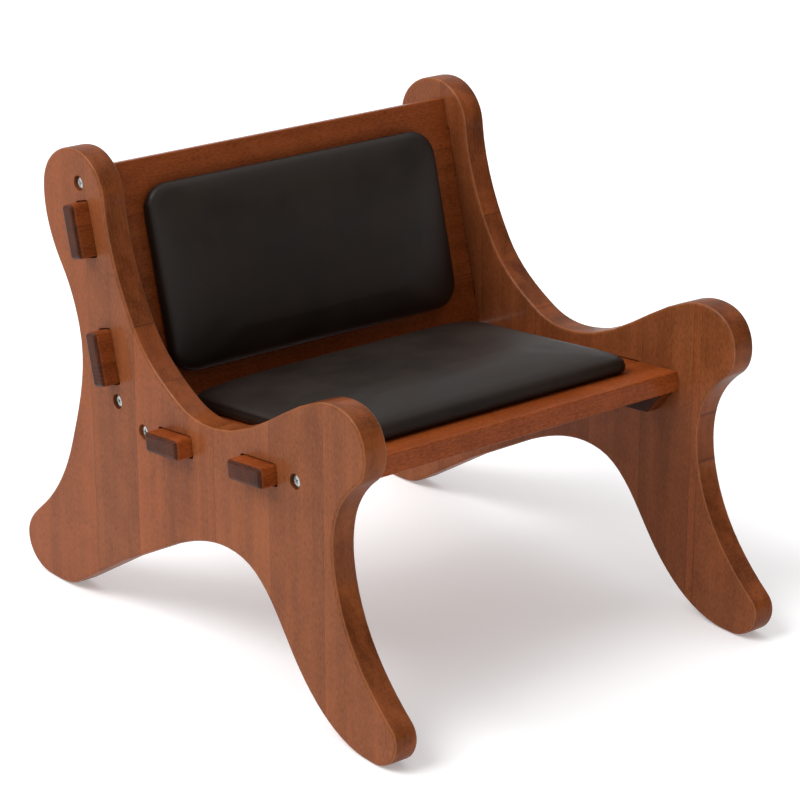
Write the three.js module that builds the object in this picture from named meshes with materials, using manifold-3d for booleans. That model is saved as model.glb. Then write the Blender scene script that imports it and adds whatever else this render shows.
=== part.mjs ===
// Low padded bench seat with a reclined back: two shaped side panels, a seat board and a back
// board tenoned through them and bolted, a cleat under each end of the seat, and two upholstered
// pads. Millimetres, +Z up, the front faces -Y, and the origin is on the floor under the middle.
import * as THREE from 'three';
import { mergeVertices } from 'three/addons/utils/BufferGeometryUtils.js';
import Module from 'manifold-3d';

const wasm = await Module();
wasm.setup();

// ---------------------------------------------------------------- driving dimensions

const GAP = 0.3; // left between pieces that touch
const INNER_WIDTH = 400; // between the side panels
const PANEL_THICKNESS = 25;
const PANEL_ROUNDOVER = 3;
const BOARD_THICKNESS = 19;
const BOARD_EASE = 1;
const TENON_LENGTH = 51;
const TENON_REACH = 17; // past the panel's outer face
const TENON_END_ROUND = 3;
const MORTISE_CLEARANCE = 1;
const MORTISE_CORNER = 3;

// Side panel outline, clockwise from the top of the head: [y, z, heading in degrees].
const PANEL_OUTLINE = [
  [181, 447, -3], [235, 405, -84], [209, 329, -128], [183, 276, -105], [204, 154, -70],
  [258, 75, -41], [292, 28, -99], [253, 0, -180], [241, 0, -180], [202, 9, -213],
  [34, 104, -206], [-74, 127, -168], [-151, 56, -130], [-228, 3, -166], [-250, 0, -180],
  [-262, 0, -180], [-278, 5, -209], [-285, 43, -322], [-218, 126, -292], [-210, 206, -254],
  [-240, 248, -218], [-248, 290, -294], [-186, 307, -379], [-63, 245, -377], [21, 246, -334],
  [90, 299, -304], [133, 408, -276],
];
const OUTLINE_STEP_ANGLE = 18; // degrees of bend for each straight facet

// Each board lies in its own frame: X across, Y away from the near edge, Z out of the padded
// face. Its origin is [y, z] in the bench's frame, and the frame is turned about X by its tilt.
const BOARDS = [
  {
    name: 'seat',
    origin: [-179, 238],
    tilt: -6,
    length: 285,
    tenonStarts: [52.5, 181.5],
    bolts: { front: 25.5, rear: 259.5 },
    pad: { start: 30, depth: 232, height: 32, corner: 12 },
  },
  {
    name: 'back',
    origin: [108, 209.8],
    tilt: 75,
    length: 228,
    tenonStarts: [29, 148],
    bolts: { lower: 12, upper: 216 },
    pad: { start: 24.5, depth: 178, height: 28, corner: 25 },
  },
];

const CLEAT = { width: 16, height: 22, ends: [5, 280], ease: 1, screws: [60, 225] };

const PAD_WIDTH = 340;
const PAD_WALL = 10; // straight side, up to the top of the plywood
// The crown's rings, as shares of the pad's outline, from its rim to near its middle.
const PAD_CROWN_RINGS = [0.985, 0.93, 0.82, 0.66, 0.45];
const PAD_CORNER_SEGMENTS = 4;
const PAD_SKIN = 1.2;
const PAD_HEM = 10;
const PAD_PLY_TOP = 10.8;
const PAD_SCREW_INSET = [60, 45];

const BOLT = { radius: 3, length: 55, headRadius: 6.6, headHeight: 3.6, recess: 2.2, point: 1 };
const BOLT_CLEARANCE = 0.3;
const COUNTERBORE_RADIUS = 7.5;
const BARREL_NUT = { radius: 5, length: 14, fromEnd: 30 };
const WOOD_SCREW = { radius: 2, headRadius: 4, headHeight: 2.4 };
const PAD_SCREW_LENGTH = 25;
const CLEAT_SCREW_LENGTH = 30;
// A pan head's profile, as shares of its radius and height.
const PAN_HEAD = [[1, 0], [1, 0.45], [0.88, 0.8], [0.6, 1]];
const COUNTERSINK_RIM = 0.4; // cylindrical edge of a countersunk head
const BOLT_RECESS = { span: 6.4, width: 1.25, depth: 2.2 };
const SCREW_RECESS = { span: 4.4, width: 0.95, depth: 1.6 };
const NUT_SLOT = { width: 1.4, depth: 1.5 };

const ROUND_SEGMENTS = 12;
const CORNER_SEGMENTS = 3;
const PANEL_ROUNDOVER_SEGMENTS = 2;
const CUT_OVERSHOOT = 2;

const SIDES = { left: -1, right: 1 };
const HALF_INNER = INNER_WIDTH / 2;
const BOARD_MIDDLE = -BOARD_THICKNESS / 2;
const COUNTERBORE_DEPTH = BOLT.recess + BOLT.headHeight + GAP;

// ---------------------------------------------------------------- materials

const material = (color, roughness, metalness = 0) => () =>
  new THREE.MeshStandardMaterial({ color, roughness, metalness });

const panelWood = material(0x9c5c3c, 0.45);
const boardWood = material(0x8e4e2a, 0.45);
const cleatWood = material(0x5a2f1c, 0.5);
const leatherette = material(0x26221f, 0.5);
const plywood = material(0xb89468, 0.8);
const foam = material(0xd9cfae, 0.95);
const zinc = material(0xa9adb0, 0.35, 0.9);

// ---------------------------------------------------------------- solids

function solid(geometry) {
  const bare = geometry.clone();
  bare.deleteAttribute('normal');
  bare.deleteAttribute('uv');
  const merged = mergeVertices(bare);
  return new wasm.Manifold(new wasm.Mesh({
    numProp: 3,
    vertProperties: Float32Array.from(merged.attributes.position.array),
    triVerts: Uint32Array.from(merged.index.array),
  }));
}

function geometryOf(manifold) {
  const mesh = manifold.getMesh();
  const geometry = new THREE.BufferGeometry();
  geometry.setAttribute('position', new THREE.BufferAttribute(mesh.vertProperties, 3));
  geometry.setIndex(new THREE.BufferAttribute(mesh.triVerts, 1));
  geometry.computeVertexNormals();
  return geometry;
}

function cut(body, cutters) {
  const remaining = cutters.reduce((left, cutter) => left.subtract(solid(cutter)), solid(body));
  return geometryOf(remaining);
}

function namedMesh(name, geometry, makeMaterial) {
  const mesh = new THREE.Mesh(geometry, makeMaterial());
  mesh.name = name;
  return mesh;
}

// Turns a shape drawn in (Y, Z) and extruded along Z into one that runs along X.
const ALONG_X = new THREE.Matrix4().makeBasis(
  new THREE.Vector3(0, 1, 0), new THREE.Vector3(0, 0, 1), new THREE.Vector3(1, 0, 0));

function rodAlongX(radius, from, to, y, z) {
  const rod = new THREE.CylinderGeometry(radius, radius, Math.abs(to - from), ROUND_SEGMENTS);
  return rod.rotateZ(Math.PI / 2).translate((from + to) / 2, y, z);
}

function rodAlongZ(radius, x, y, from, to) {
  const rod = new THREE.CylinderGeometry(radius, radius, to - from, ROUND_SEGMENTS);
  return rod.rotateX(Math.PI / 2).translate(x, y, (from + to) / 2);
}

function roundedRectangle(width, depth, radius) {
  const [x, y] = [width / 2 - radius, depth / 2 - radius];
  const shape = new THREE.Shape();
  shape.absarc(x, y, radius, 0, Math.PI / 2);
  shape.absarc(-x, y, radius, Math.PI / 2, Math.PI);
  shape.absarc(-x, -y, radius, Math.PI, Math.PI * 1.5);
  shape.absarc(x, -y, radius, Math.PI * 1.5, Math.PI * 2);
  return shape;
}

// ---------------------------------------------------------------- side panels

const heading = (degrees) => new THREE.Vector2(1, 0).rotateAround(
  new THREE.Vector2(), THREE.MathUtils.degToRad(degrees));

// A smooth curve from one knot to the next; its handles suit a round arc of the same turn.
function outlineSegment([y0, z0, heading0], [y1, z1, heading1]) {
  const start = new THREE.Vector2(y0, z0);
  const end = new THREE.Vector2(y1, z1);
  const chord = end.clone().sub(start);
  const wrap = (angle) => THREE.MathUtils.euclideanModulo(angle + 180, 360) - 180;
  const turn = THREE.MathUtils.degToRad(wrap(heading1 - heading0));
  const reach = chord.length() / 3 / Math.cos(turn / 4) ** 2;
  const chordHeading = THREE.MathUtils.radToDeg(chord.angle());
  const bend = Math.abs(wrap(heading0 - chordHeading)) + Math.abs(wrap(heading1 - chordHeading));
  const curve = new THREE.CubicBezierCurve(
    start, start.clone().addScaledVector(heading(heading0), reach),
    end.clone().addScaledVector(heading(heading1), -reach), end);
  return curve.getPoints(Math.max(1, Math.ceil(bend / OUTLINE_STEP_ANGLE))).slice(0, -1);
}

function panelBlank() {
  const points = PANEL_OUTLINE.flatMap((knot, index) =>
    outlineSegment(knot, PANEL_OUTLINE[(index + 1) % PANEL_OUTLINE.length]));
  const blank = new THREE.ExtrudeGeometry(new THREE.Shape(points.reverse()), {
    depth: PANEL_THICKNESS - 2 * PANEL_ROUNDOVER,
    bevelThickness: PANEL_ROUNDOVER,
    bevelSize: PANEL_ROUNDOVER,
    bevelOffset: -PANEL_ROUNDOVER,
    bevelSegments: PANEL_ROUNDOVER_SEGMENTS,
  });
  blank.translate(0, 0, PANEL_ROUNDOVER - PANEL_THICKNESS / 2);
  return blank.applyMatrix4(ALONG_X);
}

const boardPlacement = (board) => new THREE.Matrix4()
  .makeRotationX(THREE.MathUtils.degToRad(board.tilt))
  .setPosition(0, ...board.origin);

function mortise(start) {
  const opening = roundedRectangle(
    TENON_LENGTH + 2 * MORTISE_CLEARANCE, BOARD_THICKNESS + 2 * MORTISE_CLEARANCE, MORTISE_CORNER);
  const depth = PANEL_THICKNESS + 2 * CUT_OVERSHOOT;
  const prism = new THREE.ExtrudeGeometry(
    opening, { depth, bevelEnabled: false, curveSegments: CORNER_SEGMENTS });
  prism.translate(0, 0, -depth / 2).applyMatrix4(ALONG_X);
  return prism.translate(0, start + TENON_LENGTH / 2, BOARD_MIDDLE);
}

function sidePanel(sideName) {
  const side = SIDES[sideName];
  const outer = side * PANEL_THICKNESS / 2;
  const inner = -outer;
  const past = side * CUT_OVERSHOOT;
  const boardCutters = (board) => [
    ...board.tenonStarts.map(mortise),
    ...Object.values(board.bolts).flatMap((y) => [
      rodAlongX(BOLT.radius + BOLT_CLEARANCE, inner - past, outer + past, y, BOARD_MIDDLE),
      rodAlongX(
        COUNTERBORE_RADIUS, outer - side * COUNTERBORE_DEPTH, outer + past, y, BOARD_MIDDLE),
    ]),
  ];
  const pilotDepth = CLEAT_SCREW_LENGTH - CLEAT.width + CUT_OVERSHOOT;
  const cleatPilots = CLEAT.screws.map((y) => rodAlongX(
    WOOD_SCREW.radius + GAP, inner - past, inner + side * pilotDepth, y, cleatMiddle()));
  const cutters = BOARDS.flatMap((board) => {
    const pilots = board.name === 'seat' ? cleatPilots : [];
    return [...boardCutters(board), ...pilots].map((cutter) =>
      cutter.applyMatrix4(boardPlacement(board)));
  });
  const mesh = namedMesh(`side_panel_${sideName}`, cut(panelBlank(), cutters), panelWood);
  mesh.position.x = side * (HALF_INNER + PANEL_THICKNESS / 2);
  return mesh;
}

// ---------------------------------------------------------------- boards with their tenons

function boardShape(board) {
  const shoulder = HALF_INNER - GAP;
  const tip = HALF_INNER + PANEL_THICKNESS + TENON_REACH;
  const round = TENON_END_ROUND;
  const rightSide = board.tenonStarts.flatMap((start) => {
    const end = start + TENON_LENGTH;
    const tipEdge = new THREE.Path();
    tipEdge.absarc(tip - round, start + round, round, -Math.PI / 2, 0);
    tipEdge.absarc(tip - round, end - round, round, 0, Math.PI / 2);
    return [
      new THREE.Vector2(shoulder, start), ...tipEdge.getPoints(1), new THREE.Vector2(shoulder, end),
    ];
  });
  rightSide.unshift(new THREE.Vector2(shoulder, 0));
  rightSide.push(new THREE.Vector2(shoulder, board.length));
  const leftSide = rightSide.map((point) => new THREE.Vector2(-point.x, point.y)).reverse();
  return new THREE.Shape([...rightSide, ...leftSide]);
}

function boardCutters(board) {
  const cutters = [];
  const boltRoom = BOLT.radius + BOLT_CLEARANCE;
  const boltEnd = HALF_INNER - boltReach() - CUT_OVERSHOOT;
  const nutX = HALF_INNER - BARREL_NUT.fromEnd;
  const nutRoof = BOARD_MIDDLE + BARREL_NUT.length / 2 + GAP;
  for (const side of Object.values(SIDES)) {
    for (const y of Object.values(board.bolts)) {
      cutters.push(rodAlongX(
        boltRoom, side * boltEnd, side * (HALF_INNER + CUT_OVERSHOOT), y, BOARD_MIDDLE));
      cutters.push(rodAlongZ(
        BARREL_NUT.radius + GAP, side * nutX, y, -BOARD_THICKNESS - CUT_OVERSHOOT, nutRoof));
    }
  }
  for (const [x, y] of padScrewPlaces(board)) {
    cutters.push(rodAlongZ(
      WOOD_SCREW.radius + GAP, x, y, -BOARD_THICKNESS - CUT_OVERSHOOT, CUT_OVERSHOOT));
    cutters.push(countersink().rotateX(Math.PI).translate(x, y, -BOARD_THICKNESS));
  }
  return cutters;
}

function makeBoard(board) {
  const blank = new THREE.ExtrudeGeometry(boardShape(board), {
    depth: BOARD_THICKNESS - 2 * BOARD_EASE,
    bevelThickness: BOARD_EASE,
    bevelSize: BOARD_EASE,
    bevelOffset: -BOARD_EASE,
    bevelSegments: 1,
  });
  blank.translate(0, 0, BOARD_EASE - BOARD_THICKNESS);
  return namedMesh(`${board.name}_board`, cut(blank, boardCutters(board)), boardWood);
}

// ---------------------------------------------------------------- fasteners

// How far a panel bolt runs into the board, from the panel's inner face.
function boltReach() {
  return BOLT.length - (PANEL_THICKNESS - COUNTERBORE_DEPTH) - GAP;
}

function turned(profile) {
  const points = profile.map(([radius, height]) => new THREE.Vector2(radius, height));
  return new THREE.LatheGeometry(points, ROUND_SEGMENTS);
}

function crossRecess({ span, width, depth }, top) {
  const height = depth + CUT_OVERSHOOT;
  return [[span, width], [width, span]].map(([x, z]) =>
    new THREE.BoxGeometry(x, height, z).translate(0, top - depth + height / 2, 0));
}

// Pan-head machine screw along Y: the underside of its head is at zero, its head above.
function boltGeometry() {
  const { radius, length, headRadius, headHeight, point } = BOLT;
  const blank = turned([
    [0, -length], [radius - point, -length], [radius, -length + point], [radius, 0],
    ...PAN_HEAD.map(([out, up]) => [out * headRadius, up * headHeight]), [0, headHeight],
  ]);
  return cut(blank, crossRecess(BOLT_RECESS, headHeight));
}

// Countersunk wood screw along Y: the top of its head is at zero, its point below.
function woodScrewGeometry(length) {
  const { radius, headRadius, headHeight } = WOOD_SCREW;
  const blank = turned([
    [0, -length], [radius, -length + 2 * radius], [radius, -headHeight],
    [headRadius, -COUNTERSINK_RIM], [headRadius, 0], [0, 0],
  ]);
  return cut(blank, crossRecess(SCREW_RECESS, 0));
}

// The seat for such a head: a cone opening towards +Z whose rim is at zero.
function countersink() {
  const { radius, headRadius, headHeight } = WOOD_SCREW;
  const cone = turned([
    [0, -headHeight - 2 * GAP], [radius + GAP, -headHeight - 2 * GAP],
    [headRadius + GAP, -COUNTERSINK_RIM - GAP], [headRadius + GAP, CUT_OVERSHOOT],
    [0, CUT_OVERSHOOT],
  ]);
  return cone.rotateX(Math.PI / 2);
}

function barrelNutGeometry() {
  const { radius, length } = BARREL_NUT;
  const blank = rodAlongZ(radius, 0, 0, -length / 2, length / 2);
  const across = radius + CUT_OVERSHOOT;
  const slot = new THREE.BoxGeometry(NUT_SLOT.width, 2 * across, 2 * NUT_SLOT.depth);
  slot.translate(0, 0, -length / 2);
  const thread = rodAlongX(BOLT.radius + BOLT_CLEARANCE, -across, across, 0, 0);
  return cut(blank, [slot, thread]);
}

function panelFasteners(board) {
  const meshes = [];
  for (const [sideName, side] of Object.entries(SIDES)) {
    for (const [place, y] of Object.entries(board.bolts)) {
      const suffix = `${place}_${sideName}`;
      const bolt = namedMesh(`${board.name}_bolt_${suffix}`, boltGeometry(), zinc);
      const headSeat = HALF_INNER + PANEL_THICKNESS - COUNTERBORE_DEPTH + GAP;
      bolt.position.set(side * headSeat, y, BOARD_MIDDLE);
      bolt.rotation.z = -side * Math.PI / 2;
      const nut = namedMesh(`${board.name}_barrel_nut_${suffix}`, barrelNutGeometry(), zinc);
      nut.position.set(side * (HALF_INNER - BARREL_NUT.fromEnd), y, BOARD_MIDDLE);
      meshes.push(bolt, nut);
    }
  }
  return meshes;
}

// ---------------------------------------------------------------- pads

function padScrewPlaces({ pad }) {
  const x = PAD_WIDTH / 2 - PAD_SCREW_INSET[0];
  const near = pad.start + PAD_SCREW_INSET[1];
  const far = pad.start + pad.depth - PAD_SCREW_INSET[1];
  return [[-x, near], [x, near], [x, far], [-x, far]];
}

// A crowned rounded rectangle: a turned profile whose rings are reshaped to the pad's outline.
// Its top is steep at the rim and flat in the middle.
function padForm(pad, inset) {
  const outline = roundedRectangle(
    PAD_WIDTH - 2 * inset, pad.depth - 2 * inset, pad.corner - inset)
    .getPoints(PAD_CORNER_SEGMENTS);
  const bottom = GAP + inset;
  const rise = pad.height - PAD_WALL;
  const crown = (share) => PAD_WALL + rise * Math.sqrt(1 - share ** 4) - inset;
  const profile = [
    [0, bottom], [1, bottom], [1, PAD_WALL - inset],
    ...PAD_CROWN_RINGS.map((share) => [share, crown(share)]), [0, crown(0)],
  ].map(([radius, height]) => new THREE.Vector2(radius, height));
  const closed = outline[0].distanceTo(outline[outline.length - 1]) < GAP;
  const rings = closed ? outline.slice(0, -1) : outline;
  const form = new THREE.LatheGeometry(profile, rings.length);
  const position = form.attributes.position;
  for (let index = 0; index < position.count; index += 1) {
    const point = rings[Math.floor(index / profile.length) % rings.length];
    const { x: scale, y: height } = profile[index % profile.length];
    position.setXYZ(index, point.x * scale, point.y * scale, height);
  }
  return form;
}

const slab = (pad, from, to) => new THREE.BoxGeometry(PAD_WIDTH, pad.depth, to - from)
  .translate(0, 0, (from + to) / 2);

function padPieces(board) {
  const { pad, name } = board;
  const middle = pad.start + pad.depth / 2;
  const hemOpening = new THREE.ExtrudeGeometry(
    roundedRectangle(PAD_WIDTH - 2 * PAD_HEM, pad.depth - 2 * PAD_HEM, pad.corner - PAD_HEM),
    { depth: PAD_SKIN + GAP, bevelEnabled: false, curveSegments: CORNER_SEGMENTS });
  const cover = cut(padForm(pad, 0), [padForm(pad, PAD_SKIN), hemOpening]);
  const pilots = padScrewPlaces(board).map(([x, y]) => rodAlongZ(
    WOOD_SCREW.radius + GAP, x, y - middle, -CUT_OVERSHOOT,
    PAD_SCREW_LENGTH - BOARD_THICKNESS + CUT_OVERSHOOT));
  const core = padForm(pad, PAD_SKIN + GAP);
  const base = cut(core, [slab(pad, PAD_PLY_TOP, pad.height), ...pilots]);
  const pieces = [
    namedMesh(`${name}_pad_cover`, cover, leatherette),
    namedMesh(`${name}_pad_base`, base, plywood),
    namedMesh(`${name}_pad_foam`, cut(core, [slab(pad, 0, PAD_PLY_TOP + GAP)]), foam),
  ];
  const screws = padScrewPlaces(board).map(([x, y], index) => {
    const screw = namedMesh(
      `${name}_pad_screw_${index + 1}`, woodScrewGeometry(PAD_SCREW_LENGTH), zinc);
    screw.position.set(x, y - middle, -BOARD_THICKNESS + GAP);
    screw.rotation.x = -Math.PI / 2;
    return screw;
  });
  const group = new THREE.Group();
  group.add(...pieces, ...screws);
  group.position.y = middle;
  return group;
}

// ---------------------------------------------------------------- cleats under the seat

// Mid-height of the cleat, in the seat board's frame.
function cleatMiddle() {
  return -BOARD_THICKNESS - GAP - CLEAT.height / 2;
}

function cleat(sideName) {
  const side = SIDES[sideName];
  const top = -BOARD_THICKNESS - GAP;
  const [near, far] = CLEAT.ends;
  const outline = new THREE.Shape([
    [near, top], [near + CLEAT.height, top - CLEAT.height],
    [far - CLEAT.height, top - CLEAT.height], [far, top],
  ].map(([y, z]) => new THREE.Vector2(y, z)));
  const blank = new THREE.ExtrudeGeometry(outline, {
    depth: CLEAT.width - 2 * CLEAT.ease,
    bevelThickness: CLEAT.ease,
    bevelSize: CLEAT.ease,
    bevelOffset: -CLEAT.ease,
    bevelSegments: 1,
  });
  blank.translate(0, 0, CLEAT.ease - CLEAT.width / 2).applyMatrix4(ALONG_X);
  const half = CLEAT.width / 2;
  const cutters = CLEAT.screws.flatMap((y) => [
    rodAlongX(
      WOOD_SCREW.radius + GAP, -half - CUT_OVERSHOOT, half + CUT_OVERSHOOT, y, cleatMiddle()),
    countersink().rotateY(-side * Math.PI / 2).translate(-side * half, y, cleatMiddle()),
  ]);
  const group = new THREE.Group();
  group.add(namedMesh(`seat_cleat_${sideName}`, cut(blank, cutters), cleatWood));
  CLEAT.screws.forEach((y, index) => {
    const name = `cleat_screw_${['front', 'rear'][index]}_${sideName}`;
    const screw = namedMesh(name, woodScrewGeometry(CLEAT_SCREW_LENGTH), zinc);
    screw.position.set(-side * (half - GAP), y, cleatMiddle());
    screw.rotation.z = side * Math.PI / 2;
    group.add(screw);
  });
  group.position.x = side * (HALF_INNER - GAP - half);
  return group;
}

// ---------------------------------------------------------------- assembly

const bench = new THREE.Group();

for (const sideName of Object.keys(SIDES)) {
  bench.add(sidePanel(sideName));
}

for (const board of BOARDS) {
  const group = new THREE.Group();
  group.add(makeBoard(board), ...panelFasteners(board), padPieces(board));
  if (board.name === 'seat') {
    group.add(cleat('left'), cleat('right'));
  }
  group.position.set(0, ...board.origin);
  group.rotation.x = THREE.MathUtils.degToRad(board.tilt);
  bench.add(group);
}

export default bench;
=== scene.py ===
"""Low padded bench seat with a reclined back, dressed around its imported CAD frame.

Pieces are drawn in millimetres and become metres in Shell.piece. A board's own frame has X across
the bench, Y away from the board's near edge and Z out of its padded face.
"""

import math

import bmesh
import bpy
import numpy as np
from mathutils import Matrix, Vector
from mathutils.geometry import tessellate_polygon


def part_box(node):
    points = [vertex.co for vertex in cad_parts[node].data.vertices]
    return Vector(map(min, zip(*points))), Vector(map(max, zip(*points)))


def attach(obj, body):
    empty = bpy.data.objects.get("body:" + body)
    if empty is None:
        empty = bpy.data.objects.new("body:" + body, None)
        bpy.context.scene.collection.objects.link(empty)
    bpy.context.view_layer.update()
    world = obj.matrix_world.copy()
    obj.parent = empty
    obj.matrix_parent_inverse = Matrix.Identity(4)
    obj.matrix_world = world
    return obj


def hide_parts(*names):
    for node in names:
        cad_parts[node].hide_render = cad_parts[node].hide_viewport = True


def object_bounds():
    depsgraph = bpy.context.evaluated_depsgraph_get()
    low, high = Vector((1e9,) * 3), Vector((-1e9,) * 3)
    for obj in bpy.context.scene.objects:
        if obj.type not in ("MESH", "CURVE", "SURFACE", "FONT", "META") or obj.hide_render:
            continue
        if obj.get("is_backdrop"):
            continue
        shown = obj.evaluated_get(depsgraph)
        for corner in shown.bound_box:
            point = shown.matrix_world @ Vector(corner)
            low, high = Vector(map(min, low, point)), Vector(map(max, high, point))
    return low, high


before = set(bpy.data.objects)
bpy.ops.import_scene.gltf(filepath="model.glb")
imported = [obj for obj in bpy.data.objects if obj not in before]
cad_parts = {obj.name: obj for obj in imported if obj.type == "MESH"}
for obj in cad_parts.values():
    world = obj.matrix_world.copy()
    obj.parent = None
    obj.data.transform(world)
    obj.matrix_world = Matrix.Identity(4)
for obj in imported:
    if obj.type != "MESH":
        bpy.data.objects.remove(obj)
cad_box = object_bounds()

MM = 0.001
SIDES = {"left": -1, "right": 1}

# ---------------------------------------------------------------- sizes, in millimetres

INNER_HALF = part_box("side_panel_right")[0].x / MM
OUTER_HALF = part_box("side_panel_right")[1].x / MM
TENON_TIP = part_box("seat_board")[1].x / MM
PANEL_THICKNESS = OUTER_HALF - INNER_HALF
BOARD_THICKNESS = 19
BOARD_EASE = 1.6
BOARD_MIDDLE = -BOARD_THICKNESS / 2
GAP = 0.3  # between pieces that touch
FLAT_MARGIN = 0.35  # a flat strip beside each rounded edge, which keeps wide faces shaded flat
PANEL_ROUNDOVER = 3
TENON_LENGTH = 51
TENON_ROUND = 4
MORTISE_CLEARANCE = 1
MORTISE_CORNER = 3
HOLE_EASE = 0.4

# The panel's outline, clockwise from the top of its head: [y, z, heading in degrees].
PANEL_OUTLINE = [
    (181, 447, -3), (235, 405, -84), (209, 329, -128), (183, 276, -105), (204, 154, -70),
    (258, 75, -41), (292, 28, -99), (253, 0, -180), (241, 0, -180), (202, 9, -213),
    (34, 104, -206), (-74, 127, -168), (-151, 56, -130), (-228, 3, -166), (-250, 0, -180),
    (-262, 0, -180), (-278, 5, -209), (-285, 43, -322), (-218, 126, -292), (-210, 206, -254),
    (-240, 248, -218), (-248, 290, -294), (-186, 307, -379), (-63, 245, -377), (21, 246, -334),
    (90, 299, -304), (133, 408, -276),
]
OUTLINE_STEP_ANGLE = 4  # degrees of bend for each step along the outline

# origin and tilt place a board in the bench. Tenons, bolts and pads are at a distance from its near
# edge, and a pad's crease is at a height above the board.
BOARDS = {
    "seat": {
        "origin": (-179, 238), "tilt": -6, "length": 285, "tenons": (52.5, 181.5),
        "bolts": {"front": 25.5, "rear": 259.5},
        "pad": {"start": 30, "depth": 232, "height": 32, "corner": 12, "crease": 10},
    },
    "back": {
        "origin": (108, 209.8), "tilt": 75, "length": 228, "tenons": (29, 148),
        "bolts": {"lower": 12, "upper": 216},
        "pad": {"start": 24.5, "depth": 178, "height": 28, "corner": 25, "crease": None},
    },
}
PAD_WIDTH = 340
PAD_WALL = 10  # height of the cover's straight sides
PAD_END_DROP = 0.25  # share of the crown's rise that is lost at the pad's two ends
PAD_SWELL = 2  # how far a filled cover may stand out from its cut shape
PAD_CORNER_GROWTH = 0.6  # added to the corner radius for each unit that a cover is drawn in

# How far each ring of a layer is drawn in from the pad's outline, and its height. The cover's
# heights come from crown().
COVER_RINGS = (0.3, 1, 2, 3.5, 5.5, 8, 12, 17, 24, 33, 44, 56, 68)
PLYWOOD_RINGS = [(4.5, 2.2), (4, 2.7), (4, 10.3), (4.5, 10.8)]
FOAM_RINGS = [(8, 11.1), (8, 12), (11, 13.5), (20, 16), (36, 19), (60, 20.5)]

CLOTH_VOXEL = 4
CLOTH_PRESSURE = 4
CLOTH_FRAMES = 20
CLOTH_INWARD_SHARE = 0.2  # of a move inwards that is kept, because the foam holds the cover out
CLOTH_WALL_SHARE = 0.25  # of a move of the straight sides that is kept
CLOTH_EVEN_ROUNDS = 12
CREASE = {"depth": 0.8, "spread": 1.3}

PAD_SCREW_INSET = (60, 45)
PAD_SCREW_LENGTH = 25
PAD_SCREW_HOLE = {"countersink": 2.8, "depth": 17}

CLEAT = {
    "width": 16, "height": 22, "ends": (5, 280), "ease": 1, "corner": 1.5, "screws": (60, 225),
    "countersink": 2.6,
}
CLEAT_SCREW_LENGTH = 30
BOLT = {"radius": 3, "length": 55, "head_radius": 6.6, "head_height": 3.6, "recess": 2.2}
COUNTERBORE_RADIUS = 7.2
STAINED_DEPTH = 4.5  # how far the stain reaches into a counterbore
COUNTERBORE_DEPTH = BOLT["recess"] + BOLT["head_height"] + GAP
BOLT_SEAT = OUTER_HALF - COUNTERBORE_DEPTH + GAP  # where the bolts' heads sit, out from the middle
BARREL_NUT = {"radius": 5, "length": 14, "from_end": 30}
WOOD_SCREW = {"radius": 2, "head_radius": 4, "head_height": 2.4}

# ---------------------------------------------------------------- studio settings

CAMERA = {"lens": 129.8, "place": (-1.57296, -1.99545, 1.14399), "angles": (69.69, 0, -38.47)}
FLOOR_REACH = 12000
FLOOR_DROP = 0.0005  # in metres, so that the feet never share the floor's plane
FLOOR_GLOW = 0.27
SKY_LIGHT_FROM = (-0.1, 0.5, 0.86)
SKY_STRENGTH = (0.22, 1.2)
# [name, direction towards the light, strength, angular size in degrees]
LAMPS = [
    ("key_light", (-0.62, 0.14, 0.77), 1.6, 32),
    ("rear_light", (-0.6, 0.55, 0.58), 0.45, 30),
    ("front_light", (-0.35, -0.9, 0.25), 0.3, 30),
]

# ---------------------------------------------------------------- mesh building


class Shell:
    """Rings of points and the faces between them, which together close one body."""

    def __init__(self):
        self.points = []
        self.faces = []
        self.finishes = []
        self.flat_faces = []

    def ring(self, points):
        first = len(self.points)
        self.points.extend(Vector(point) for point in points)
        return list(range(first, len(self.points)))

    def face(self, corners, finish=0):
        self.faces.append(tuple(corners))
        self.finishes.append(finish)

    def bridge(self, ring_a, ring_b, finish=0, skip=()):
        count = len(ring_a)
        for index in range(count):
            if index not in skip:
                after = (index + 1) % count
                self.face((ring_a[index], ring_a[after], ring_b[after], ring_b[index]), finish)

    def loft(self, rings, finish=0):
        for ring_a, ring_b in zip(rings, rings[1:]):
            self.bridge(ring_a, ring_b, finish)

    def cap(self, rim, holes=(), finish=0):
        loops = [rim, *holes]
        order = [index for loop in loops for index in loop]
        for triangle in tessellate_polygon([[self.points[i] for i in loop] for loop in loops]):
            self.flat_faces.append(len(self.faces))
            self.face([order[corner] for corner in triangle], finish)

    def piece(self, name, finishes, sharp_angle=40):
        mesh = bpy.data.meshes.new(name)
        mesh.from_pydata([point * MM for point in self.points], [], self.faces)
        for polygon, finish in zip(mesh.polygons, self.finishes):
            polygon.material_index = finish
        surface = bmesh.new()
        surface.from_mesh(mesh)
        bmesh.ops.recalc_face_normals(surface, faces=surface.faces)
        surface.to_mesh(mesh)
        surface.free()
        for finish in finishes:
            mesh.materials.append(finish)
        smooth(mesh, sharp_angle)
        for index in self.flat_faces:
            mesh.polygons[index].use_smooth = False
        made = bpy.data.objects.new(name, mesh)
        bpy.context.scene.collection.objects.link(made)
        return made


def smooth(mesh, sharp_angle):
    mesh.polygons.foreach_set("use_smooth", [True] * len(mesh.polygons))
    mesh.set_sharp_from_angle(angle=math.radians(sharp_angle))


def bake_modifiers(piece):
    """Makes the result of the piece's modifiers its mesh."""
    evaluated = piece.evaluated_get(bpy.context.evaluated_depsgraph_get())
    mesh = bpy.data.meshes.new_from_object(evaluated)
    piece.modifiers.clear()
    piece.data = mesh


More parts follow.
